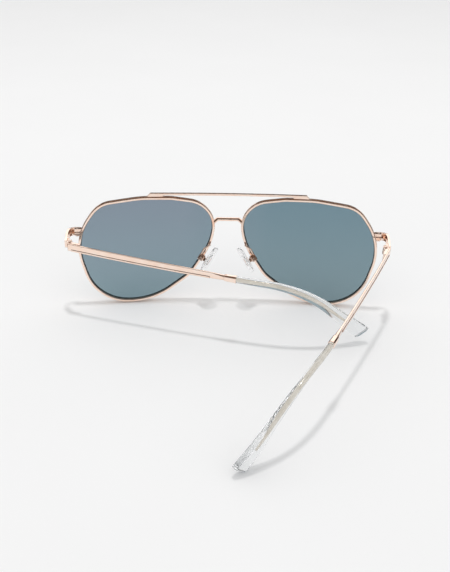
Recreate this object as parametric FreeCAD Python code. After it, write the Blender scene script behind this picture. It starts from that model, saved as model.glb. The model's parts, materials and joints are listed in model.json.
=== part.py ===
import FreeCAD
import Part
import math
import os

# Aviator sunglasses with a double bridge, in millimetres.
# X runs across the front from the left hinge to the right hinge, Y points the way the wearer looks, Z is up.
# The glasses stand on a table on the bottoms of the rims and the end of the right temple tip, with the left
# temple folded most of the way in and the right temple folded a little. Right-hand pieces are modelled and
# left-hand ones are their mirror image, so "outward" is away from the nose on both sides.

Vec = FreeCAD.Vector
Placement = FreeCAD.Placement

# Front
LEAN = 7.1            # degrees the top of the front leans forward
WRAP = 5.2            # degrees each lens turns back towards its temple
LENS_X = 36.2         # lens centre from the middle
LENS_Z = 24.13        # lens centre above the table
LENS_RADIUS = 200.0   # base curve of the lenses
LENS_THICKNESS = 1.8
LENS_BEVEL = 0.40     # how far the lens edge enters the rim
RIM_REAR = 1.5        # rim behind and in front of the middle of the lens
RIM_FRONT = 1.15
RIM_WIDTH = 1.1       # front layer, outside the opening
RIM_STEP = 0.25       # the rear layer is narrower by this much
GROOVE_CLEARANCE = 0.03
# Lens opening: corner points outward and up from the lens centre, and the radius that rounds each one
OPENING = [
    (-31.0, 21.0, 11.5),
    (-11.0, 23.5, 15.0),
    (2.0, 23.5, 50.0),
    (20.5, 21.0, 11.5),
    (31.5, 5.5, 23.0),
    (23.0, -22.5, 19.0),
    (-1.5, -24.0, 31.0),
    (-19.0, -11.0, 18.0),
    (-28.0, 3.0, 27.0),
]

# Brow bar and bridge
BAR_REACH = 35.5
BAR_FOOT = 28.5       # the soldered foot runs from here to the tip of the bar
BAR_TOP = 50.25
BAR_HEIGHT = 0.9
BAR_DEPTH = 1.5
BAR_MIDDLE_Y = 0.3
BAR_BOW = 1.5         # how far its ends lie behind its middle
BRIDGE_RADIUS = 0.85
BRIDGE_END = Vec(6.9, 0.1, 36.6)
BRIDGE_KINK = Vec(4.75, 1.4, 38.2)

# Rim lock
LOCK_HEIGHT = 9.3     # the rim is split this far above the lens centre
RIM_SLIT = 0.3
LOCK_BLOCK = 1.35     # height of each half
LOCK_REACH = 31.5
LOCK_REAR_Y = -3.75
LOCK_FRONT_Y = -1.45
LOCK_SCREW_RADIUS = 0.45
LOCK_HEAD_RADIUS = 0.8

# Endpiece strip
STRIP_THICKNESS = 1.0
STRIP_OFFSET = 1.8    # centre of its rear run, outside the hinge axis
STRIP_FRONT_Y = -3.7
STRIP_BEND = 3.6      # centreline radius of its corner
STRIP_START = 64.9

# Hinges
HINGE = Vec(68.55, -10.55, 30.52)
HINGE_TILT = {"left": 2.9, "right": 8.5}   # degrees the hinge axis leans back; they differ so the temples pass
FOLD = {"left": 71.65, "right": 23.15}       # degrees each temple is folded in at rest
BARREL_RADIUS = 1.15
BARREL_CLEARANCE = 0.15
LEAF_INNER = 0.4
LEAF_HALF_HEIGHT = 1.75
FRONT_LEAF_LENGTH = 2.7
TEMPLE_LEAF_LENGTH = 5.6
KNUCKLE_HALF = 0.52
KNUCKLE_GAP = 0.1
END_GAP = 0.15        # each side of the hinge axis, between the strip and the temple
SCREW_RADIUS = 0.5
SCREW_THREAD_FIT = 0.01
SCREW_RUNNING_FIT = 0.05

# Temples: lengths are measured along the temple from the hinge axis
PITCH = 4.37          # degrees the temple falls towards the ear
TEMPLE_OFFSET = 2.0   # centreline outside the hinge axis
BAR_THICKNESS = 0.8
TEMPLE_HEIGHT = 3.3   # at the hinge; it narrows to the neck
NECK_HEIGHT = 2.75
LEDGE_THICKNESS = 0.2
LEDGE_HEIGHT = 0.85
LEDGE_START = 1.8
LEDGE_END = 65.0
NECK_START = 66.0
FERRULE_START = 71.3
FERRULE_END = 76.4
EAR_BEND_START = 88.3
EAR_BEND_LENGTH = 29.8
EAR_BEND = 38.0
TEMPLE_END = 136.9
WIRE_END = 128.5
BAR_BOW_RATE = 0.043  # degrees of inward bow per millimetre up to the end of the ferrule
TIP_BOW_RATE = 0.266  # from there to the ear bend
EAR_BOW_RATE = 0.446  # and from the ear bend on
TIP_CUT = 14.0        # degrees the end of the tip is cut off square
# Tip sections: distance along the temple, thickness, height, and squareness (2 is an ellipse)
TIP_SECTIONS = [
    (76.4, 2.25, 2.9, 2.1),
    (84.0, 2.3, 3.1, 2.1),
    (92.0, 2.4, 3.3, 2.2),
    (100.0, 2.4, 3.6, 2.3),
    (107.0, 2.5, 4.0, 2.4),
    (114.0, 2.6, 4.4, 2.6),
    (123.0, 2.7, 5.2, 2.9),
    (131.0, 2.8, 6.2, 3.2),
    (139.5, 2.8, 6.6, 3.4),
]

# Nose pads: a pad rocks on a small screw that crosses the box at the end of its arm
PAD_CENTRE = Vec(8.0, -5.0, 21.3)
PAD_LEAN = 30.0       # degrees its top leans towards the other pad
PAD_TURN = 20.0       # degrees its face turns towards the wearer
PAD_HALF_LENGTH = 6.3
PAD_HALF_WIDTH = 3.6
PAD_THICKNESS = 1.8
PAD_EDGE = 0.6
PIVOT_BACK = 3.2      # pivot behind the middle of the pad
PIVOT_DROP = 1.3      # and below it, along the pad
STEM_THICKNESS = 1.0
STEM_RADIUS = 0.8
BOX_CHEEK = 0.45
BOX_SLOT = 1.4
BOX_HALF_LENGTH = 1.2
BOX_BACK = 1.15
BOX_FRONT = 0.8
PAD_SCREW_RADIUS = 0.4
ARM_RADIUS = 0.42
ARM_ROUTE = [Vec(7.9, 0.2, 27.0), Vec(7.9, -2.9, 27.3), Vec(10.4, -3.3, 25.7), Vec(12.0, -3.47, 22.8)]

# The origin lies on the table under the middle of the whole box
BOX_CENTRE = Vec(0.0, -59.97, 0.0)


def rotation(axis, degrees):
    return FreeCAD.Rotation(axis, degrees)


def frame(origin, x_axis, z_axis):
    """Placement whose local X and Z run along the two given perpendicular directions."""
    y_axis = z_axis.cross(x_axis)
    matrix = FreeCAD.Matrix(
        x_axis.x, y_axis.x, z_axis.x, origin.x,
        x_axis.y, y_axis.y, z_axis.y, origin.y,
        x_axis.z, y_axis.z, z_axis.z, origin.z,
        0, 0, 0, 1)
    return Placement(matrix)


def front_placement():
    """The front's own upright frame, leaned about the height of the lens centres."""
    centre = Vec(0, 0, LENS_Z)
    return Placement(Vec(0, 0, 0), rotation(Vec(1, 0, 0), -LEAN), centre)


def lens_placement():
    """Right lens frame inside the front: X outward, Y forward, Z up."""
    return Placement(Vec(LENS_X, 0, LENS_Z), rotation(Vec(0, 0, 1), -WRAP))


FRONT = front_placement()
LENS = FRONT.multiply(lens_placement())
UP = Vec(0, 0, 1)


def placed(shape, placement):
    result = shape.copy()
    result.Placement = placement.multiply(result.Placement)
    return result


def box(x0, x1, y0, y1, z0, z1):
    return Part.makeBox(x1 - x0, y1 - y0, z1 - z0, Vec(x0, y0, z0))


def cylinder(radius, start, end):
    return Part.makeCylinder(radius, (end - start).Length, start, end - start)


def rod(points, radius):
    """Round wire along straight runs, with a ball at each bend."""
    runs = [cylinder(radius, a, b) for a, b in zip(points, points[1:])]
    balls = [Part.makeSphere(radius, p) for p in points[1:-1]]
    return runs[0].multiFuse(runs[1:] + balls)


def slab_from_polygon(points, normal, depth):
    """Polygon extruded by depth to both sides of its own plane."""
    face = Part.Face(Part.makePolygon(points + points[:1]))
    face.translate(normal * -depth)
    return face.extrude(normal * (2 * depth))


# Lenses and rims, in the lens frame

def rounded_corner(before, corner, after, radius, offset):
    """Start, middle and end of the arc that rounds one corner, moved outward by offset."""
    to_before = (before - corner).normalize()
    to_after = (after - corner).normalize()
    half = to_before.getAngle(to_after) / 2
    inward = (to_before + to_after).normalize()
    moved = corner - inward * (offset / math.sin(half))
    full = radius + offset
    tangent = full / math.tan(half)
    middle = moved + inward * (full / math.sin(half) - full)
    return moved + to_before * tangent, middle, moved + to_after * tangent


def opening_face(offset):
    points = [Vec(u, 0, v) for u, v, radius in OPENING]
    arcs = []
    for i, (u, v, radius) in enumerate(OPENING):
        after = points[(i + 1) % len(points)]
        arcs.append(rounded_corner(points[i - 1], points[i], after, radius, offset))
    edges = []
    for i, (start, middle, end) in enumerate(arcs):
        edges.append(Part.Arc(start, middle, end).toShape())
        edges.append(Part.LineSegment(end, arcs[(i + 1) % len(arcs)][0]).toShape())
    return Part.Face(Part.Wire(edges))


def opening_prism(offset):
    face = opening_face(offset)
    face.translate(Vec(0, -12, 0))
    return face.extrude(Vec(0, 24, 0))


def curved_layer(inner, outer):
    """Layer between two depths measured forward from the middle of the lens."""
    centre = Vec(0, -LENS_RADIUS, 0)
    return Part.makeSphere(LENS_RADIUS + outer, centre).cut(Part.makeSphere(LENS_RADIUS + inner, centre))


def lens():
    half = LENS_THICKNESS / 2
    return opening_prism(LENS_BEVEL).common(curved_layer(-half, half))


def rim_outside():
    """The rim's solid outer shape, without the opening: neighbours are trimmed by it."""
    front = opening_prism(RIM_WIDTH).common(curved_layer(0, RIM_FRONT))
    rear = opening_prism(RIM_WIDTH - RIM_STEP).common(curved_layer(-RIM_REAR, 0))
    return front.fuse(rear)


def rim():
    groove_half = LENS_THICKNESS / 2 + GROOVE_CLEARANCE
    groove = opening_prism(LENS_BEVEL + GROOVE_CLEARANCE).common(curved_layer(-groove_half, groove_half))
    ring = rim_outside().cut(opening_prism(0)).cut(groove)
    slit = box(20, 40, -12, 12, LOCK_HEIGHT - RIM_SLIT / 2, LOCK_HEIGHT + RIM_SLIT / 2)
    return ring.cut(slit).removeSplitter()


def lock_block(low, high):
    block = box(26.0, LOCK_REACH, LOCK_REAR_Y, LOCK_FRONT_Y, low, high).cut(opening_prism(RIM_WIDTH))
    return block.cut(lock_bore())


def lock_axis(height):
    return Vec(LOCK_REACH - 1.1, (LOCK_REAR_Y + LOCK_FRONT_Y) / 2, height)


def lock_bore():
    reach = LOCK_BLOCK + 2
    bore_radius = LOCK_SCREW_RADIUS + SCREW_THREAD_FIT
    return cylinder(bore_radius, lock_axis(LOCK_HEIGHT - reach), lock_axis(LOCK_HEIGHT + reach))


def lock_upper():
    low = LOCK_HEIGHT + RIM_SLIT / 2
    return lock_block(low, low + LOCK_BLOCK)


def lock_lower():
    high = LOCK_HEIGHT - RIM_SLIT / 2
    return lock_block(high - LOCK_BLOCK, high)


def slotted_screw(radius, head_radius, head_height, start, end):
    """Screw whose head sits beyond its start, with a slot across the head."""
    along = (end - start).normalize()
    side = along.cross(Vec(0.3, 1, 0.2)).normalize()
    head_end = start - along * head_height
    screw = cylinder(radius, start, end).fuse(cylinder(head_radius, head_end, start))
    slot = Part.makeBox(4 * head_radius, 0.3 * head_radius, 0.5 * head_height)
    slot.translate(Vec(-2 * head_radius, -0.15 * head_radius, 0))
    slot = placed(slot, frame(head_end, side, along))
    return screw.cut(slot)


def lock_screw():
    start = lock_axis(LOCK_HEIGHT - RIM_SLIT / 2 - LOCK_BLOCK)
    end = lock_axis(LOCK_HEIGHT + RIM_SLIT / 2 + LOCK_BLOCK)
    return slotted_screw(LOCK_SCREW_RADIUS, LOCK_HEAD_RADIUS, 0.5, start, end)


# Brow bar and bridge, in the front's frame

def both_rims_outside():
    right = placed(rim_outside(), lens_placement())
    return right.fuse(right.mirror(Vec(0, 0, 0), Vec(1, 0, 0)))


def brow_bar():
    """Thin bar whose flattened ends are soldered down on the rims; the tips taper to nothing."""
    low = BAR_TOP - BAR_HEIGHT
    half = [(BAR_REACH - 1.2, BAR_TOP), (BAR_REACH, low - 0.3), (BAR_REACH - 0.4, low - 1.4),
            (BAR_FOOT + 0.3, low - 1.4), (BAR_FOOT, low)]
    right = [Vec(x, 0, z) for x, z in half]
    left = [Vec(-x, 0, z) for x, z in reversed(half)]
    profile = slab_from_polygon(right + left, Vec(0, 1, 0), 6.0)
    radius = (BAR_REACH ** 2 + BAR_BOW ** 2) / (2 * BAR_BOW)
    centre = Vec(0, BAR_MIDDLE_Y - radius, 40)
    outer = Part.makeCylinder(radius + BAR_DEPTH / 2, 20, centre, UP)
    inner = Part.makeCylinder(radius - BAR_DEPTH / 2, 20, centre, UP)
    return profile.common(outer.cut(inner)).cut(both_rims_outside())


def bridge():
    end = BRIDGE_END
    kink = BRIDGE_KINK
    points = [Vec(-end.x, end.y, end.z), Vec(-kink.x, kink.y, kink.z), kink, end]
    return rod(points, BRIDGE_RADIUS).cut(both_rims_outside())


# Endpiece, in the front's frame

def strip_plan():
    half = STRIP_THICKNESS / 2
    side_x = HINGE.x + STRIP_OFFSET
    corner = Vec(side_x - STRIP_BEND, STRIP_FRONT_Y - STRIP_BEND, 25)
    across = box(STRIP_START, corner.x, STRIP_FRONT_Y - half, STRIP_FRONT_Y + half, 25, 40)
    back = box(side_x - half, side_x + half, -16, corner.y, 25, 40)
    quarter = Part.makeCylinder(STRIP_BEND + half, 15, corner, UP, 90)
    quarter = quarter.cut(Part.makeCylinder(STRIP_BEND - half, 15, corner, UP))
    return across.multiFuse([quarter, back])


def endpiece():
    """Flat strip that leaves the rim sideways, turns back and drops to the hinge."""
    outline = [Vec(0, -2.5, 34.9), Vec(0, -5.2, 34.7), Vec(0, -12.5, 30.3), Vec(0, -12.5, 26.9),
               Vec(0, -5.2, 31.3), Vec(0, -2.5, 31.5)]
    band = slab_from_polygon(outline, Vec(1, 0, 0), 90)
    strip = strip_plan().common(band)
    rim_and_locks = opening_prism(RIM_WIDTH).common(curved_layer(-RIM_REAR, RIM_FRONT))
    for block in (lock_upper(), lock_lower()):
        rim_and_locks = rim_and_locks.fuse(block)
    return placed(strip.cut(placed(rim_and_locks, lens_placement())), FRONT)


# Hinge, in a frame on its axis: X outward, Y forward, Z along the axis

def hinge_frame(side):
    tilt = math.radians(HINGE_TILT[side])
    return frame(HINGE, Vec(1, 0, 0), Vec(0, -math.sin(tilt), math.cos(tilt)))


def axis_cylinder(radius, low, high):
    return Part.makeCylinder(radius, high - low, Vec(0, 0, low), UP)


def front_leaf():
    top = LEAF_HALF_HEIGHT
    gap = KNUCKLE_HALF + KNUCKLE_GAP
    inner_face = STRIP_OFFSET - STRIP_THICKNESS / 2
    plate = box(LEAF_INNER, inner_face, END_GAP, FRONT_LEAF_LENGTH, -top, top)
    plate = plate.cut(axis_cylinder(BARREL_RADIUS + BARREL_CLEARANCE, -gap, gap))
    lower = axis_cylinder(BARREL_RADIUS, -top, -gap)
    upper = axis_cylinder(BARREL_RADIUS, gap, top)
    bore = axis_cylinder(SCREW_RADIUS + SCREW_THREAD_FIT, -top, top)
    return plate.multiFuse([lower, upper]).cut(bore)


def temple_leaf():
    top = LEAF_HALF_HEIGHT
    inner_face = TEMPLE_OFFSET - BAR_THICKNESS / 2
    plate = box(LEAF_INNER, inner_face, -TEMPLE_LEAF_LENGTH, -END_GAP, -top, top)
    room = BARREL_RADIUS + BARREL_CLEARANCE
    plate = plate.cut(axis_cylinder(room, -top, -KNUCKLE_HALF)).cut(axis_cylinder(room, KNUCKLE_HALF, top))
    knuckle = axis_cylinder(BARREL_RADIUS, -KNUCKLE_HALF, KNUCKLE_HALF)
    bore = axis_cylinder(SCREW_RADIUS + SCREW_RUNNING_FIT, -top, top)
    return plate.fuse(knuckle).cut(bore)


def hinge_screw():
    top = LEAF_HALF_HEIGHT
    return slotted_screw(SCREW_RADIUS, 0.85, 0.45, Vec(0, 0, top), Vec(0, 0, -top - 0.1))


# Temple, in a frame on the hinge axis: X along the temple, Y outward, Z up

def temple_frame():
    fall = math.radians(PITCH)
    return frame(HINGE, Vec(0, -math.cos(fall), -math.sin(fall)), Vec(0, -math.sin(fall), math.cos(fall)))


def temple_angles(distance):
    """Inward heading and downward pitch of the temple, in radians, at a distance along it."""
    bow = BAR_BOW_RATE * min(distance, FERRULE_END)
    bow += TIP_BOW_RATE * min(max(distance - FERRULE_END, 0), EAR_BEND_START - FERRULE_END)
    bow += EAR_BOW_RATE * max(distance - EAR_BEND_START, 0)
    bend = EAR_BEND * min(max((distance - EAR_BEND_START) / EAR_BEND_LENGTH, 0), 1)
    return math.radians(bow), math.radians(bend)


def temple_direction(distance):
    bow, bend = temple_angles(distance)
    return Vec(math.cos(bend) * math.cos(bow), -math.cos(bend) * math.sin(bow), -math.sin(bend))


def temple_point(distance):
    steps = max(int(distance), 1)
    step = distance / steps
    point = Vec(0, TEMPLE_OFFSET, 0)
    for i in range(steps):
        point += temple_direction((i + 0.5) * step) * step
    return point


def section_frame(distance):
    """Frame across the temple: X outward, Y up, Z along it."""
    bow, bend = temple_angles(distance)
    outward = Vec(math.sin(bow), math.cos(bow), 0)
    return frame(temple_point(distance), outward, temple_direction(distance))


def octagon(distance, thickness, height, chamfer, shift=Vec(0, 0, 0)):
    """Chamfered rectangle across the temple."""
    x = thickness / 2
    y = height / 2
    c = chamfer
    corners = [(x, y - c), (x - c, y), (c - x, y), (-x, y - c), (-x, c - y), (c - x, -y), (x - c, -y), (x, c - y)]
    points = [section_frame(distance).multVec(Vec(px, py, 0) + shift) for px, py in corners]
    return Part.makePolygon(points + points[:1])


def rounded_section(distance, thickness, height, squareness):
    """Superellipse across the temple, between an ellipse and a rounded rectangle."""
    points = []
    for i in range(16):
        angle = 2 * math.pi * i / 16
        c = math.cos(angle)
        s = math.sin(angle)
        x = thickness / 2 * math.copysign(abs(c) ** (2 / squareness), c)
        y = height / 2 * math.copysign(abs(s) ** (2 / squareness), s)
        points.append(section_frame(distance).multVec(Vec(x, y, 0)))
    curve = Part.BSplineCurve()
    curve.interpolate(Points=points, PeriodicFlag=True)
    return Part.Wire([curve.toShape()])


def stations(start, end, count):
    return [start + (end - start) * i / (count - 1) for i in range(count)]


def bar_height(distance):
    return TEMPLE_HEIGHT + (NECK_HEIGHT - TEMPLE_HEIGHT) * (distance / NECK_START) ** 3


def temple_bar():
    """Flat stamped bar with a ledge along the lower outer edge and a rounder neck behind it."""
    places = [END_GAP + 0.01] + stations(11.0, NECK_START, 6)
    bar = Part.makeLoft([octagon(s, BAR_THICKNESS, bar_height(s), 0.12) for s in places], True, True)
    outward_shift = (BAR_THICKNESS + LEDGE_THICKNESS) / 2 - 0.05
    ledge_sections = []
    for s in stations(LEDGE_START, LEDGE_END, 7):
        shift = Vec(outward_shift, (LEDGE_HEIGHT - bar_height(s)) / 2, 0)
        ledge_sections.append(octagon(s, LEDGE_THICKNESS + 0.1, LEDGE_HEIGHT, 0.08, shift))
    ledge = Part.makeLoft(ledge_sections, True, True)
    neck = Part.makeLoft([octagon(NECK_START, BAR_THICKNESS, NECK_HEIGHT, 0.12),
                          octagon(69.0, 1.4, 2.5, 0.35),
                          octagon(FERRULE_START, 1.7, 2.3, 0.5)], True, True)
    return bar.multiFuse([ledge, neck])


def core_wire_shape(clearance):
    """Flat wire that runs from the neck through the ferrule into the tip."""
    sections = []
    for s in stations(FERRULE_START, WIRE_END, 16):
        taper = 1.0 - 0.35 * max(s - 110.0, 0) / (WIRE_END - 110.0)
        sections.append(rounded_section(s, 1.0 * taper + 2 * clearance, 1.5 * taper + 2 * clearance, 2.4))
    return Part.makeLoft(sections, True, False)


def ferrule():
    sleeve = Part.makeLoft([octagon(FERRULE_START, 2.1, 2.6, 0.5),
                            octagon(FERRULE_START + 0.8, 2.3, 2.85, 0.55),
                            octagon(FERRULE_END, 2.5, 3.1, 0.6)], True, True)
    return sleeve.cut(core_wire_shape(0.03))


def temple_tip():
    """Acetate tip with the ear bend, cut off at a slant."""
    tip = Part.makeLoft([rounded_section(*section) for section in TIP_SECTIONS], True, False)
    end = section_frame(TEMPLE_END)
    cutter = box(-10, 10, -10, 10, 0, 12)
    cutter.rotate(Vec(0, 0, 0), Vec(1, 0, 0), TIP_CUT)
    return tip.cut(placed(cutter, end)).cut(core_wire_shape(0.03))


# Nose pads, in a frame on the pivot: X across the pad, Y up along it, Z towards the nose

def pad_frame():
    lean = math.radians(PAD_LEAN)
    turn = math.radians(PAD_TURN)
    along = Vec(-math.sin(lean), 0, math.cos(lean))
    flat_normal = Vec(-math.cos(lean), 0, -math.sin(lean))
    normal = flat_normal * math.cos(turn) + Vec(0, -math.sin(turn), 0)
    across = along.cross(normal)
    return frame(PAD_CENTRE - normal * PIVOT_BACK - along * PIVOT_DROP, across, normal)


def nose_pad():
    ellipse = Part.Ellipse(Vec(0, 0, 0), PAD_HALF_LENGTH, PAD_HALF_WIDTH).toShape()
    face = Part.Face(Part.Wire([ellipse]))
    face.rotate(Vec(0, 0, 0), UP, 90)
    face.translate(Vec(0, PIVOT_DROP, PIVOT_BACK - PAD_THICKNESS / 2))
    pad = face.extrude(Vec(0, 0, PAD_THICKNESS))
    rims = [edge for edge in pad.Edges if edge.Closed and abs(edge.BoundBox.ZLength) < 0.01]
    return pad.makeFillet(PAD_EDGE, rims)


def pad_insert():
    """Metal plate on the back of the pad, with the stem that the screw crosses."""
    back = PIVOT_BACK - PAD_THICKNESS / 2
    half = STEM_THICKNESS / 2
    plate = box(-1.5, 1.5, -1.9, 1.9, back - 0.3, back)
    stem = box(-half, half, -STEM_RADIUS, STEM_RADIUS, 0, back - 0.2)
    eye = cylinder(STEM_RADIUS, Vec(-half, 0, 0), Vec(half, 0, 0))
    bore = cylinder(PAD_SCREW_RADIUS + SCREW_RUNNING_FIT, Vec(-2, 0, 0), Vec(2, 0, 0))
    return plate.multiFuse([stem, eye]).cut(bore)


def pad_box():
    half = BOX_SLOT / 2
    wide = half + BOX_CHEEK
    outer = box(-wide, wide, -BOX_HALF_LENGTH, BOX_HALF_LENGTH, -BOX_BACK - 0.45, BOX_FRONT)
    slot = box(-half, half, -BOX_HALF_LENGTH - 1, BOX_HALF_LENGTH + 1, -BOX_BACK, BOX_FRONT + 1)
    bore = cylinder(PAD_SCREW_RADIUS + SCREW_THREAD_FIT, Vec(-3, 0, 0), Vec(3, 0, 0))
    return outer.cut(slot).cut(bore)


def pad_screw():
    wide = BOX_SLOT / 2 + BOX_CHEEK
    return slotted_screw(PAD_SCREW_RADIUS, 0.7, 0.4, Vec(wide, 0, 0), Vec(-wide, 0, 0))


def pad_arm():
    """Wire from the back of the rim, looped down to the box; both ends meet their neighbours flush."""
    wire = rod(ARM_ROUTE, ARM_RADIUS)
    wide = BOX_SLOT / 2 + BOX_CHEEK
    room = box(-wide, wide, -BOX_HALF_LENGTH, BOX_HALF_LENGTH, -BOX_BACK - 0.45, BOX_FRONT)
    wire = wire.cut(placed(room, pad_frame()))
    return wire.cut(placed(rim_outside(), lens_placement()))


def folded(shape, side):
    """Turn a temple piece about its hinge axis from open to the rest position."""
    tilt = math.radians(HINGE_TILT[side])
    axis = Vec(0, -math.sin(tilt), math.cos(tilt))
    turned = shape.copy()
    turned.rotate(HINGE, axis, -FOLD[side])
    return turned


def right_hand_pieces(side):
    """Every paired piece in its right-hand place, with the hinge tilt and fold of the given side."""
    pad_place = FRONT.multiply(pad_frame())
    hinge = hinge_frame(side)
    temple = temple_frame()
    bar = placed(temple_bar(), temple)
    pieces = {
        "rim": placed(rim(), LENS),
        "lens": placed(lens(), LENS),
        "rim_lock_upper": placed(lock_upper(), LENS),
        "rim_lock_lower": placed(lock_lower(), LENS),
        "rim_lock_screw": placed(lock_screw(), LENS),
        "pad_arm": placed(pad_arm(), FRONT),
        "pad_box": placed(pad_box(), pad_place),
        "pad_screw": placed(pad_screw(), pad_place),
        "pad_insert": placed(pad_insert(), pad_place),
        "nose_pad": placed(nose_pad(), pad_place),
        "hinge_leaf_front": placed(front_leaf(), hinge),
        "hinge_screw": placed(hinge_screw(), hinge),
        "hinge_leaf_temple": folded(placed(temple_leaf(), hinge).cut(bar), side),
        "temple_bar": folded(bar, side),
        "ferrule": folded(placed(ferrule(), temple), side),
        "core_wire": folded(placed(core_wire_shape(0), temple), side),
        "temple_tip": folded(placed(temple_tip(), temple), side),
    }
    end_cut = placed(box(-3, 5, -20, END_GAP, -12, 12), hinge)
    leaf_room = placed(front_leaf(), hinge)
    pieces["endpiece"] = endpiece().cut(end_cut).cut(leaf_room)
    return pieces


def build():
    pieces = {
        "brow_bar": placed(brow_bar(), FRONT),
        "bridge": placed(bridge(), FRONT),
    }
    for side in ("left", "right"):
        for name, shape in right_hand_pieces(side).items():
            if side == "left":
                shape = shape.mirror(Vec(0, 0, 0), Vec(1, 0, 0))
            pieces[name + "_" + side] = shape
    for shape in pieces.values():
        shape.translate(BOX_CENTRE * -1)
    return pieces


def main():
    os.makedirs("parts", exist_ok=True)
    for name, shape in build().items():
        bounds = shape.BoundBox
        print(name, len(shape.Solids), shape.isValid(), round(shape.Volume, 3),
              [round(v, 2) for v in (bounds.XMin, bounds.XMax, bounds.YMin, bounds.YMax, bounds.ZMin, bounds.ZMax)])
        shape.exportStep(os.path.join("parts", name + ".step"))


main()
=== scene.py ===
import json
import math

import bmesh
import bpy
from mathutils import Matrix, Vector


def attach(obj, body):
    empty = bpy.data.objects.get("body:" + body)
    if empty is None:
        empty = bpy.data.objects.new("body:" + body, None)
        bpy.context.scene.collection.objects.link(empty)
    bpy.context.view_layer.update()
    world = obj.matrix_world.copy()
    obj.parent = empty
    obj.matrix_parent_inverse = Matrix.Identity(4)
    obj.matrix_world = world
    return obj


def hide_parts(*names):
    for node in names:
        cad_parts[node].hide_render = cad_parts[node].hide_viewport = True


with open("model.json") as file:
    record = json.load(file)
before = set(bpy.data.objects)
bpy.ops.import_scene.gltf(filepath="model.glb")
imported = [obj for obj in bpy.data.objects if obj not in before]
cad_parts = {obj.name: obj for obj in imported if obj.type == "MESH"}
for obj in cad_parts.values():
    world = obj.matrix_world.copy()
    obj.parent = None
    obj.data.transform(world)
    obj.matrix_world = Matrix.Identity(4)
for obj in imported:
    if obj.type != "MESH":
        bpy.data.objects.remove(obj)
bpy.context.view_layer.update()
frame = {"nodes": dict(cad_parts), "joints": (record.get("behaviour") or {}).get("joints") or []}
nodes = frame["nodes"]
MM = 0.001

# Camera
CAMERA_AZIMUTH = 0.322
CAMERA_ELEVATION = 28.331
CAMERA_ROLL = -0.827
CAMERA_DISTANCE = 0.3823
CAMERA_TARGET = Vector((-0.000905, 0.05997, 0.005774))
FOCAL_PIXELS = 830.8
LONG_SIDE_PIXELS = 572
SENSOR = 36.0

# Lens
LENS_HEIGHT = 49 * MM
TINT_BLEND = 20 * MM      # the tints of the two lenses meet within this distance of the middle
LAMP_THROUGH_LENS = (0.5, 0.56, 0.6)
# Band of painted shade round each lens, just inside its rim
EDGE_WIDTH = 0.19 * MM
EDGE_HIDDEN = 0.40 * MM   # the lens reaches this far into its rim
EDGE_LIFT = 0.02 * MM
EDGE_POINTS = 240
FACE_LIMIT = 0.6          # a face belongs to the front or rear of the lens above this slope

# Clear temple tips, in millimetres along the temple from its hinge
PITCH = 4.37              # fall of the temple, in degrees
TEMPLE_OFFSET = 2.0
TIP_START = 76.4
TIP_END = 136.9
TIP_CUT = 14.0            # slant of the end, in degrees
TIP_CUT_LENGTH = 4.0      # the slant grows over this length
TIP_ROUNDING = 0.35
TIP_POINTS_AROUND = 48
TIP_RINGS = 70
TIP_ROUNDING_RINGS = 5
CENTRE_LINE_STEPS = 400
EAR_BEND_START = 88.3
EAR_BEND_LENGTH = 29.8
EAR_BEND = 38.0           # degrees
# From, to, degrees per millimetre
BOW_RATES = ((0.0, 76.4, 0.043), (76.4, 88.3, 0.266), (88.3, 200.0, 0.446))
# Distance along the temple, thickness, height, squareness
TIP_SECTIONS = (
    (76.4, 2.25, 2.9, 2.1),
    (84.0, 2.3, 3.1, 2.1),
    (92.0, 2.4, 3.3, 2.2),
    (100.0, 2.4, 3.6, 2.3),
    (107.0, 2.5, 4.0, 2.4),
    (114.0, 2.6, 4.4, 2.6),
    (123.0, 2.7, 5.2, 2.9),
    (131.0, 2.8, 6.2, 3.2),
    (139.5, 2.8, 6.6, 3.4),
)

# Metal tints, from the darker to the paler clouds
ROSE_GOLD = ((0.96, 0.72, 0.59), (0.99, 0.78, 0.66), (1.0, 0.84, 0.74))
NICKEL_SILVER = ((0.66, 0.60, 0.50), (0.74, 0.68, 0.59), (0.82, 0.77, 0.69))
# Colour of the painted shade laid along the metal's edges
EDGE_PAINTED_SHADE = (0.22, 0.10, 0.07)

# Light. Reflections see a dark band above the horizon and a dark panel in DARK_DIRECTION.
DARK_DIRECTION = (0.0, -0.85, 0.53)
DARK_COLOR = (0.11, 0.075, 0.055)
HORIZON_COLOR = (0.04, 0.027, 0.02)
REFLECTED_STRENGTH = 1.3
WORLD_STRENGTH = 0.815
KEY_WATTS = 4.6
KEY_SIZE = 0.11
KEY_DISTANCE = 1.3
KEY_LEAN = 9.0            # degrees from straight above, towards +Y
KEY_AIM = Vector((0, 0.03, 0))
FLOOR_SIZE = 6.0


def add_camera():
    """Camera of the main view: aimed at CAMERA_TARGET, rolled about its own axis."""
    azimuth = math.radians(CAMERA_AZIMUTH)
    elevation = math.radians(CAMERA_ELEVATION)
    back = Vector((math.sin(azimuth) * math.cos(elevation), -math.cos(azimuth) * math.cos(elevation),
                   math.sin(elevation)))
    right = (-back).cross(Vector((0, 0, 1))).normalized()
    roll = Matrix.Rotation(math.radians(CAMERA_ROLL), 3, -back)
    right = roll @ right
    up = back.cross(right)
    data = bpy.data.cameras.new("camera")
    data.sensor_width = SENSOR
    data.lens = FOCAL_PIXELS / LONG_SIDE_PIXELS * SENSOR
    data.clip_start = 0.01
    camera = bpy.data.objects.new("camera", data)
    place = Matrix((right, up, back)).transposed().to_4x4()
    place.translation = CAMERA_TARGET + back * CAMERA_DISTANCE
    camera.matrix_world = place
    bpy.context.scene.collection.objects.link(camera)
    bpy.context.scene.camera = camera


def node(tree, kind, **settings):
    """A shader node: keyword values are node properties, or inputs by name with spaces as underscores."""
    made = tree.nodes.new("ShaderNode" + kind)
    for key, value in settings.items():
        if hasattr(made, key):
            setattr(made, key, value)
        else:
            made.inputs[key.replace("_", " ")].default_value = value
    return made


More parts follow.
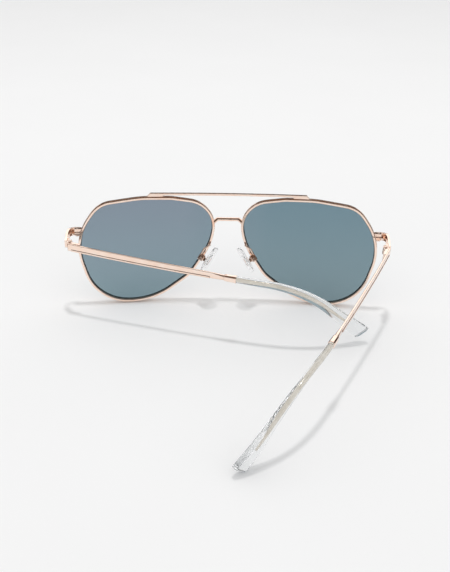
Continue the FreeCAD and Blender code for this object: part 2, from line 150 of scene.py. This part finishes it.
def ramp(tree, source, stops):
    """Colour ramp from a value; stops are (position, grey or colour)."""
    made = tree.nodes.new("ShaderNodeValToRGB")
    elements = made.color_ramp.elements
    while len(elements) > 1:
        elements.remove(elements[-1])
    for i, (position, value) in enumerate(stops):
        element = elements[0] if i == 0 else elements.new(position)
        element.position = position
        color = value if isinstance(value, tuple) else (value, value, value)
        element.color = (*color, 1)
    tree.links.new(source, made.inputs["Fac"])
    return made.outputs["Color"]


def add_studio():
    """Pale surroundings, one soft lamp nearly overhead, and darker panels that only reflections show."""
    scene = bpy.context.scene
    scene.view_settings.view_transform = "Standard"
    world = bpy.data.worlds.new("studio")
    scene.world = world
    world.use_nodes = True
    tree = world.node_tree
    place = node(tree, "TexCoord").outputs["Generated"]
    split = node(tree, "SeparateXYZ")
    tree.links.new(place, split.inputs["Vector"])
    toward = node(tree, "VectorMath", operation="DOT_PRODUCT")
    toward.inputs[1].default_value = DARK_DIRECTION
    tree.links.new(place, toward.inputs[0])
    white = (1, 1, 1)
    horizon = ramp(tree, split.outputs["Z"], [(0.0, HORIZON_COLOR), (0.27, HORIZON_COLOR), (0.36, white)])
    behind = ramp(tree, toward.outputs["Value"], [(0.42, white), (0.60, DARK_COLOR)])
    panels = node(tree, "Mix", data_type="RGBA", blend_type="DARKEN")
    panels.inputs["Factor"].default_value = 1.0
    tree.links.new(horizon, panels.inputs["A"])
    tree.links.new(behind, panels.inputs["B"])
    reflected = tree.nodes["Background"]
    reflected.inputs["Strength"].default_value = REFLECTED_STRENGTH
    tree.links.new(panels.outputs["Result"], reflected.inputs["Color"])
    plain = node(tree, "Background", Color=(1, 1, 1, 1), Strength=WORLD_STRENGTH)
    mix = node(tree, "MixShader")
    path = node(tree, "LightPath")
    mirrored = node(tree, "Math", operation="SUBTRACT", use_clamp=True)
    tree.links.new(path.outputs["Is Glossy Ray"], mirrored.inputs[0])
    tree.links.new(path.outputs["Is Transmission Ray"], mirrored.inputs[1])
    tree.links.new(mirrored.outputs["Value"], mix.inputs["Fac"])
    tree.links.new(plain.outputs["Background"], mix.inputs[1])
    tree.links.new(reflected.outputs["Background"], mix.inputs[2])
    tree.links.new(mix.outputs["Shader"], tree.nodes["World Output"].inputs["Surface"])
    light = bpy.data.lights.new("key", "AREA")
    light.shape = "DISK"
    light.size = KEY_SIZE
    light.energy = KEY_WATTS
    key = bpy.data.objects.new("key", light)
    direction = Vector((0.0, math.tan(math.radians(KEY_LEAN)), 1.0)).normalized()
    key.location = KEY_AIM + direction * KEY_DISTANCE
    key.rotation_euler = direction.to_track_quat("Z", "Y").to_euler()
    key.visible_glossy = False
    scene.collection.objects.link(key)


def add_floor():
    """Pale floor under the object."""
    bpy.ops.mesh.primitive_plane_add(size=FLOOR_SIZE, location=(0, 0, 0))
    floor = bpy.context.object
    floor.name = "floor"
    material, tree, shader = new_material("floor", (0.86, 0.86, 0.86), 0.9, Specular_IOR_Level=0.1)
    grain = node(tree, "TexNoise", Scale=9.0, Detail=2.0)
    tree.links.new(node_place(tree), grain.inputs["Vector"])
    shade = ramp(tree, grain.outputs["Fac"], [(0.3, 0.855), (0.7, 0.865)])
    tree.links.new(shade, shader.inputs["Base Color"])
    floor.data.materials.append(material)


def new_material(name, color, roughness, **more):
    """A Principled material; further keywords are inputs by name, with spaces as underscores."""
    material = bpy.data.materials.new(name)
    material.use_nodes = True
    tree = material.node_tree
    shader = tree.nodes["Principled BSDF"]
    shader.inputs["Base Color"].default_value = (*color, 1)
    shader.inputs["Roughness"].default_value = roughness
    for key, value in more.items():
        shader.inputs[key.replace("_", " ")].default_value = value
    return material, tree, shader


def node_place(tree):
    """Position in the object's own frame, in metres."""
    return node(tree, "TexCoord").outputs["Object"]


def noise(tree, scale, detail=3.0, stretch=None):
    """Noise fixed to the object, stretched by a scale for each axis where one is given."""
    place = node_place(tree)
    if stretch:
        mapping = node(tree, "Mapping", Scale=stretch)
        tree.links.new(place, mapping.inputs["Vector"])
        place = mapping.outputs["Vector"]
    made = node(tree, "TexNoise", Scale=scale, Detail=detail)
    tree.links.new(place, made.inputs["Vector"])
    return made.outputs["Fac"]


def metal_material(name, tints, level_line, softening):
    """Polished metal: slight cloudiness, fine scratches and softened edges.

    The edges are darkened with painted shade, fully on the sides and by level_line where they face up or
    back.
    """
    material, tree, shader = new_material(name, (0.93, 0.7, 0.58), 0.14, Metallic=1.0)
    clouds = noise(tree, 260.0, 4.0)
    plating = ramp(tree, clouds, list(zip((0.25, 0.5, 0.75), tints)))
    wear = noise(tree, 900.0, 5.0)
    tree.links.new(ramp(tree, wear, [(0.3, 0.07), (0.7, 0.15)]), shader.inputs["Roughness"])
    edge = node(tree, "Bevel", samples=10, Radius=softening)
    turn = node(tree, "VectorMath", operation="DOT_PRODUCT")
    tree.links.new(edge.outputs["Normal"], turn.inputs[0])
    tree.links.new(node(tree, "NewGeometry").outputs["Normal"], turn.inputs[1])
    sides = node(tree, "SeparateXYZ")
    tree.links.new(node(tree, "TexCoord").outputs["Normal"], sides.inputs["Vector"])
    sideways = node(tree, "Math", operation="ABSOLUTE")
    tree.links.new(sides.outputs["X"], sideways.inputs[0])
    # Painted shade along the edges: full on the sides, scaled by level_line where the faces turn up or back
    line = node(tree, "Math", operation="MULTIPLY")
    tree.links.new(ramp(tree, turn.outputs["Value"], [(0.78, 1.0), (0.97, 0.0)]), line.inputs[0])
    tree.links.new(ramp(tree, sideways.outputs["Value"], [(0.2, level_line), (0.6, 1.0)]), line.inputs[1])
    color = node(tree, "Mix", data_type="RGBA")
    color.inputs["B"].default_value = (*EDGE_PAINTED_SHADE, 1)
    tree.links.new(line.outputs["Value"], color.inputs["Factor"])
    tree.links.new(plating, color.inputs["A"])
    tree.links.new(color.outputs["Result"], shader.inputs["Base Color"])
    scratches = noise(tree, 1500.0, 2.0, (1.0, 1.0, 9.0))
    bump = node(tree, "Bump", Strength=0.06, Distance=0.02 * MM)
    tree.links.new(scratches, bump.inputs["Height"])
    tree.links.new(edge.outputs["Normal"], bump.inputs["Normal"])
    tree.links.new(bump.outputs["Normal"], shader.inputs["Normal"])
    return material


def lamp_through(material, tree, shader, tint):
    """Lets lamps through glass as a plain tint, so that it casts a pale shadow."""
    path = node(tree, "LightPath")
    lit = node(tree, "Math", operation="MAXIMUM")
    tree.links.new(path.outputs["Is Shadow Ray"], lit.inputs[0])
    tree.links.new(path.outputs["Is Diffuse Ray"], lit.inputs[1])
    clear = node(tree, "BsdfTransparent", Color=(*tint, 1))
    mix = node(tree, "MixShader")
    tree.links.new(lit.outputs["Value"], mix.inputs["Fac"])
    tree.links.new(shader.outputs["BSDF"], mix.inputs[1])
    tree.links.new(clear.outputs["BSDF"], mix.inputs[2])
    tree.links.new(mix.outputs["Shader"], tree.nodes["Material Output"].inputs["Surface"])
    return material


def lens_material():
    """Smoke grey lenses, the left one paler, with a gloss on their front face only and faint smears.

    The low index keeps the folded temples from showing in the rear faces.
    """
    material, tree, shader = new_material("lens", (0.3, 0.36, 0.41), 0.02, IOR=1.1,
                                          Transmission_Weight=1.0, Coat_Roughness=0.02)
    split = node(tree, "SeparateXYZ")
    tree.links.new(node_place(tree), split.inputs["Vector"])
    height = node(tree, "MapRange")
    height.inputs["From Max"].default_value = LENS_HEIGHT
    tree.links.new(split.outputs["Z"], height.inputs["Value"])
    left = ramp(tree, height.outputs["Result"],
                [(0.05, (0.275, 0.378, 0.420)), (0.95, (0.248, 0.303, 0.362))])
    right = ramp(tree, height.outputs["Result"],
                 [(0.05, (0.248, 0.338, 0.370)), (0.95, (0.184, 0.278, 0.328))])
    across = node(tree, "MapRange")
    across.inputs["From Min"].default_value = -TINT_BLEND
    across.inputs["From Max"].default_value = TINT_BLEND
    tree.links.new(split.outputs["X"], across.inputs["Value"])
    color = node(tree, "Mix", data_type="RGBA")
    tree.links.new(across.outputs["Result"], color.inputs["Factor"])
    tree.links.new(left, color.inputs["A"])
    tree.links.new(right, color.inputs["B"])
    tree.links.new(color.outputs["Result"], shader.inputs["Base Color"])
    outward = node(tree, "SeparateXYZ")
    tree.links.new(node(tree, "TexCoord").outputs["Normal"], outward.inputs["Vector"])
    gloss = ramp(tree, outward.outputs["Y"], [(0.2, 0.0), (0.6, 0.8)])
    coat = node(tree, "Math", operation="SUBTRACT", use_clamp=True)
    tree.links.new(gloss, coat.inputs[0])
    tree.links.new(node(tree, "NewGeometry").outputs["Backfacing"], coat.inputs[1])
    tree.links.new(coat.outputs["Value"], shader.inputs["Coat Weight"])
    smears = noise(tree, 60.0, 3.0, (1.0, 1.0, 0.35))
    tree.links.new(ramp(tree, smears, [(0.35, 0.0), (0.75, 0.06)]), shader.inputs["Roughness"])
    bump = node(tree, "Bump", Strength=0.02, Distance=0.05 * MM)
    tree.links.new(noise(tree, 40.0, 1.0), bump.inputs["Height"])
    tree.links.new(bump.outputs["Normal"], shader.inputs["Normal"])
    return lamp_through(material, tree, shader, LAMP_THROUGH_LENS)


def clear_material(name, color, ior, transmission, lamp_tint):
    """Clear acetate: mostly see-through with a little milkiness and faint moulding waves."""
    material, tree, shader = new_material(name, color, 0.05, IOR=ior, Transmission_Weight=transmission)
    haze = noise(tree, 120.0, 3.0)
    low = tuple(c * 0.97 for c in color)
    tree.links.new(ramp(tree, haze, [(0.3, low), (0.7, color)]), shader.inputs["Base Color"])
    cloudiness = ramp(tree, noise(tree, 500.0, 3.0), [(0.3, 0.02), (0.75, 0.10)])
    tree.links.new(cloudiness, shader.inputs["Roughness"])
    bump = node(tree, "Bump", Strength=0.01, Distance=0.02 * MM)
    tree.links.new(noise(tree, 90.0, 0.0), bump.inputs["Height"])
    tree.links.new(bump.outputs["Normal"], shader.inputs["Normal"])
    return lamp_through(material, tree, shader, lamp_tint)


def shade_band_material():
    """Dark band of painted shade where the lens meets the rim, standing for the rim's shaded groove."""
    material, tree, shader = new_material("lens_shade_band", (0.05, 0.055, 0.06), 0.35)
    grain = noise(tree, 1800.0, 4.0)
    tree.links.new(ramp(tree, grain, [(0.3, (0.13, 0.11, 0.10)), (0.7, (0.20, 0.18, 0.17))]),
                   shader.inputs["Base Color"])
    tree.links.new(ramp(tree, grain, [(0.3, 0.25), (0.7, 0.5)]), shader.inputs["Roughness"])
    return material


def face_loop(mesh_object, side):
    """Outline of a lens face, in order: the vertices round its front (side 1) or rear (side -1) face."""
    shape = bmesh.new()
    shape.from_mesh(mesh_object.data)
    bmesh.ops.remove_doubles(shape, verts=shape.verts, dist=1e-6)
    shape.normal_update()
    links = {}
    for edge in shape.edges:
        if len(edge.link_faces) != 2:
            continue
        facing = [face.normal.y * side > FACE_LIMIT for face in edge.link_faces]
        if facing[0] != facing[1]:
            a, b = edge.verts
            links.setdefault(a, []).append(b)
            links.setdefault(b, []).append(a)
    start = next(iter(links))
    loop = [start]
    before = None
    current = start
    while True:
        following = [v for v in links[current] if v is not before]
        if not following or following[0] is start:
            break
        before, current = current, following[0]
        loop.append(current)
    points = [v.co.copy() for v in loop]
    normals = []
    for v in loop:
        total = Vector((0, 0, 0))
        for face in v.link_faces:
            if face.normal.y * side > FACE_LIMIT:
                total += face.normal
        normals.append(total.normalized())
    shape.free()
    return points, normals


def resampled(points, normals, count):
    """The closed outline again with evenly spaced points."""
    lengths = [(b - a).length for a, b in zip(points, points[1:] + points[:1])]
    total = sum(lengths)
    result = []
    i = 0
    run = 0.0
    for k in range(count):
        target = total * k / count
        while run + lengths[i] < target:
            run += lengths[i]
            i += 1
        t = (target - run) / lengths[i]
        j = (i + 1) % len(points)
        result.append((points[i].lerp(points[j], t), normals[i].lerp(normals[j], t).normalized()))
    return result


def add_lens_shade_band(side, material):
    """Narrow dark bevel of painted shade round both faces of a lens, just inside its rim."""
    lens_node = nodes["lens_" + side]
    profile = ((EDGE_HIDDEN, EDGE_LIFT), (EDGE_HIDDEN + EDGE_WIDTH * 0.7, EDGE_LIFT),
               (EDGE_HIDDEN + EDGE_WIDTH, 0.25 * EDGE_LIFT))
    shape = bmesh.new()
    for face_side in (-1, 1):
        outline = resampled(*face_loop(lens_node, face_side), EDGE_POINTS)
        centre = sum((p for p, n in outline), Vector((0, 0, 0))) / len(outline)
        rows = []
        for i, (point, normal) in enumerate(outline):
            along = outline[(i + 1) % len(outline)][0] - outline[i - 1][0]
            inward = normal.cross(along).normalized()
            if inward.dot(centre - point) < 0:
                inward.negate()
            rows.append([shape.verts.new(point + inward * depth + normal * lift) for depth, lift in profile])
        for i, b in enumerate(rows):
            a = rows[i - 1]
            for k in range(len(profile) - 1):
                shape.faces.new((a[k], b[k], b[k + 1], a[k + 1]))
    bmesh.ops.recalc_face_normals(shape, faces=shape.faces)
    mesh = bpy.data.meshes.new("lens_shade_band_" + side)
    shape.to_mesh(mesh)
    shape.free()
    mesh.polygons.foreach_set("use_smooth", [True] * len(mesh.polygons))
    piece = bpy.data.objects.new("lens_shade_band_" + side, mesh)
    bpy.context.scene.collection.objects.link(piece)
    mesh.materials.append(material)
    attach(piece, "front")


def temple_angles(s):
    """Inward heading and downward pitch of the temple, in radians, at a distance along it."""
    bow = sum(rate * min(max(s - start, 0.0), end - start) for start, end, rate in BOW_RATES)
    bend = EAR_BEND * min(max((s - EAR_BEND_START) / EAR_BEND_LENGTH, 0.0), 1.0)
    return math.radians(bow), math.radians(bend)


def temple_direction(s):
    """Direction of the temple's centre line, in its own frame, at a distance along it."""
    bow, bend = temple_angles(s)
    return Vector((math.cos(bend) * math.cos(bow), -math.cos(bend) * math.sin(bow), -math.sin(bend)))


def temple_centre(s):
    """Point of the temple's centre line, in its own frame, at a distance along it."""
    point = Vector((0, TEMPLE_OFFSET, 0))
    step = s / CENTRE_LINE_STEPS
    for i in range(CENTRE_LINE_STEPS):
        point += temple_direction((i + 0.5) * step) * step
    return point


def temple_place(side):
    """From the temple's own frame in millimetres, X along it, Y outward, Z up, to where it rests."""
    joint = next(j for j in frame["joints"] if j["name"] == "temple_" + side + "_fold")
    pivot = Vector(joint["pos_m"])
    pivot.x = abs(pivot.x)
    axis = Vector(joint["axis"])
    if axis.z < 0:
        axis.negate()
    fall = math.radians(PITCH)
    own = Matrix(((0, 1, 0), (-math.cos(fall), 0, -math.sin(fall)), (-math.sin(fall), 0, math.cos(fall))))
    turn = Matrix.Rotation(math.radians(joint["range_deg"][0]), 4, axis)
    place = Matrix.Translation(pivot) @ turn @ own.to_4x4() @ Matrix.Scale(MM, 4)
    if side == "left":
        place = Matrix.Scale(-1, 4, Vector((1, 0, 0))) @ place
    return place


def tip_section(s):
    """Thickness, height and squareness of the tip at a distance along the temple."""
    for a, b in zip(TIP_SECTIONS, TIP_SECTIONS[1:]):
        if s <= b[0]:
            t = (s - a[0]) / (b[0] - a[0])
            return [x + (y - x) * t for x, y in zip(a[1:], b[1:])]
    return TIP_SECTIONS[-1][1:]


def add_tip(side, material):
    """Clear temple tip as one smooth loft, with its slanted end rounded at the edges."""
    place = temple_place(side)
    around = TIP_POINTS_AROUND
    last = TIP_END - TIP_ROUNDING
    rings = []   # distance along, inset of the rounded end, share of the slant
    for i in range(TIP_RINGS):
        s = TIP_START + (last - TIP_START) * i / (TIP_RINGS - 1)
        rings.append((s, 0.0, max(0.0, (s - (last - TIP_CUT_LENGTH)) / TIP_CUT_LENGTH)))
    for i in range(1, TIP_ROUNDING_RINGS + 1):
        angle = math.radians(90 * i / TIP_ROUNDING_RINGS)
        rings.append((last + TIP_ROUNDING * math.sin(angle), TIP_ROUNDING * (1 - math.cos(angle)), 1.0))
    shape = bmesh.new()
    made = []
    for s, inset, slant in rings:
        thickness, height, squareness = tip_section(s)
        bow, bend = temple_angles(s)
        outward = Vector((math.sin(bow), math.cos(bow), 0))
        along = temple_direction(s)
        up = along.cross(outward)
        centre = temple_centre(s)
        ring = []
        for k in range(around):
            angle = 2 * math.pi * (k + 0.5) / around
            c = math.cos(angle)
            d = math.sin(angle)
            x = (thickness / 2 - inset) * math.copysign(abs(c) ** (2 / squareness), c)
            y = (height / 2 - inset) * math.copysign(abs(d) ** (2 / squareness), d)
            shift = y * math.tan(math.radians(TIP_CUT)) * slant
            ring.append(shape.verts.new(place @ (centre + outward * x + up * y + along * shift)))
        made.append(ring)
    for a, b in zip(made, made[1:]):
        for k in range(around):
            n = (k + 1) % around
            shape.faces.new((a[k], a[n], b[n], b[k]))
    shape.faces.new(made[0])
    shape.faces.new(made[-1])
    bmesh.ops.recalc_face_normals(shape, faces=shape.faces)
    for k in range(around):
        shape.edges.get((made[0][k], made[0][(k + 1) % around])).smooth = False
    mesh = bpy.data.meshes.new("tip_" + side)
    for face in shape.faces:
        face.smooth = True
    shape.to_mesh(mesh)
    shape.free()
    mesh.materials.append(material)
    piece = bpy.data.objects.new("tip_" + side, mesh)
    bpy.context.scene.collection.objects.link(piece)
    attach(piece, "temple_" + side)
    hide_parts("temple_tip_" + side)


MATERIALS = {   # by the start of the node's name; every other node is plain rose gold
    "temple_bar": metal_material("rose_gold_temple", ROSE_GOLD, 1.0, 0.40 * MM),
    "core_wire": metal_material("core_wire", NICKEL_SILVER, 0.05, 0.26 * MM),
    "lens": lens_material(),
    "temple_tip": clear_material("clear_acetate", (0.985, 0.995, 1.0), 1.38, 0.90, (0.55, 0.56, 0.57)),
    "nose_pad": clear_material("clear_pad", (0.99, 0.99, 0.99), 1.14, 0.96, (0.62, 0.63, 0.63)),
}
rose_gold = metal_material("rose_gold", ROSE_GOLD, 0.05, 0.26 * MM)

for name, cad_node in nodes.items():
    kinds = [kind for kind in MATERIALS if name.startswith(kind)]
    cad_node.data.materials.clear()
    cad_node.data.materials.append(MATERIALS[kinds[0]] if kinds else rose_gold)

# Dark bands of painted shade round the lenses, where they meet the rims
lens_shade_band = shade_band_material()
for side in ("left", "right"):
    add_lens_shade_band(side, lens_shade_band)
    add_tip(side, MATERIALS["temple_tip"])

add_camera()
add_studio()
add_floor()
